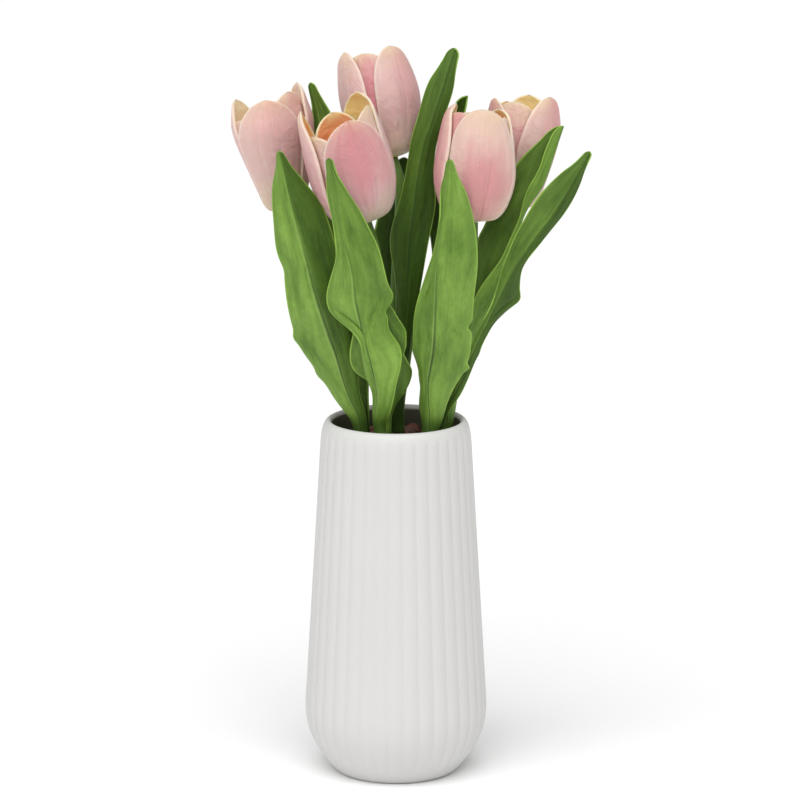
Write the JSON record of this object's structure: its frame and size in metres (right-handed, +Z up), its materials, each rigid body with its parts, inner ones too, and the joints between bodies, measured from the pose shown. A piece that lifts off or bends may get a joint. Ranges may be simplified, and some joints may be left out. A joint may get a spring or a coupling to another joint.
{
  "type": "tulips in a vase",
  "caption": "loose bouquet of pale pink tulips with broad green leaves standing in a tall tapered white vase with vertical ribs, pebbles at its mouth",
  "frame": {"origin": "centre of the vase's flat foot, on the surface it stands on", "axes": "+Z is up along the vase's axis, -Y is the front that the picture shows, +X is to the viewer's right"},
  "size_m": [0.2017, 0.1089, 0.4185],
  "materials": {
    "glazed_ceramic": "matte off-white glazed ceramic",
    "floral_foam": "dry green floral foam",
    "pebbles": "red-brown natural pebbles",
    "stem_skin": "satin green stem",
    "flower_heart": "pale yellow-green pistil and stamens",
    "petal_skin": "satin petal, soft pink with cream edges",
    "leaf_skin": "satin green leaf"
  },
  "bodies": {
    "root": {"vase": "glazed_ceramic", "floral_foam": "floral_foam", "pebble_bed": "pebbles", "stem_left": "stem_skin", "heart_left": "flower_heart", "petal_left_outer_1": "petal_skin", "petal_left_outer_2": "petal_skin", "petal_left_outer_3": "petal_skin", "petal_left_inner_1": "petal_skin", "petal_left_inner_2": "petal_skin", "petal_left_inner_3": "petal_skin", "stem_middle": "stem_skin", "heart_middle": "flower_heart", "petal_middle_outer_1": "petal_skin", "petal_middle_outer_2": "petal_skin", "petal_middle_outer_3": "petal_skin", "petal_middle_inner_1": "petal_skin", "petal_middle_inner_2": "petal_skin", "petal_middle_inner_3": "petal_skin", "stem_top": "stem_skin", "heart_top": "flower_heart", "petal_top_outer_1": "petal_skin", "petal_top_outer_2": "petal_skin", "petal_top_outer_3": "petal_skin", "petal_top_inner_1": "petal_skin", "petal_top_inner_2": "petal_skin", "petal_top_inner_3": "petal_skin", "stem_right": "stem_skin", "heart_right": "flower_heart", "petal_right_outer_1": "petal_skin", "petal_right_outer_2": "petal_skin", "petal_right_outer_3": "petal_skin", "petal_right_inner_1": "petal_skin", "petal_right_inner_2": "petal_skin", "petal_right_inner_3": "petal_skin", "stem_far_right": "stem_skin", "heart_far_right": "flower_heart", "petal_far_right_outer_1": "petal_skin", "petal_far_right_outer_2": "petal_skin", "petal_far_right_outer_3": "petal_skin", "petal_far_right_inner_1": "petal_skin", "petal_far_right_inner_2": "petal_skin", "petal_far_right_inner_3": "petal_skin", "leaf_front_left": "leaf_skin", "leaf_front_middle": "leaf_skin", "leaf_short_middle": "leaf_skin", "leaf_tall_centre": "leaf_skin", "leaf_back_centre": "leaf_skin", "leaf_front_right": "leaf_skin", "leaf_back_right": "leaf_skin", "leaf_folded_right": "leaf_skin", "leaf_far_right": "leaf_skin", "leaf_back_left": "leaf_skin"}
  },
  "joints": []
}
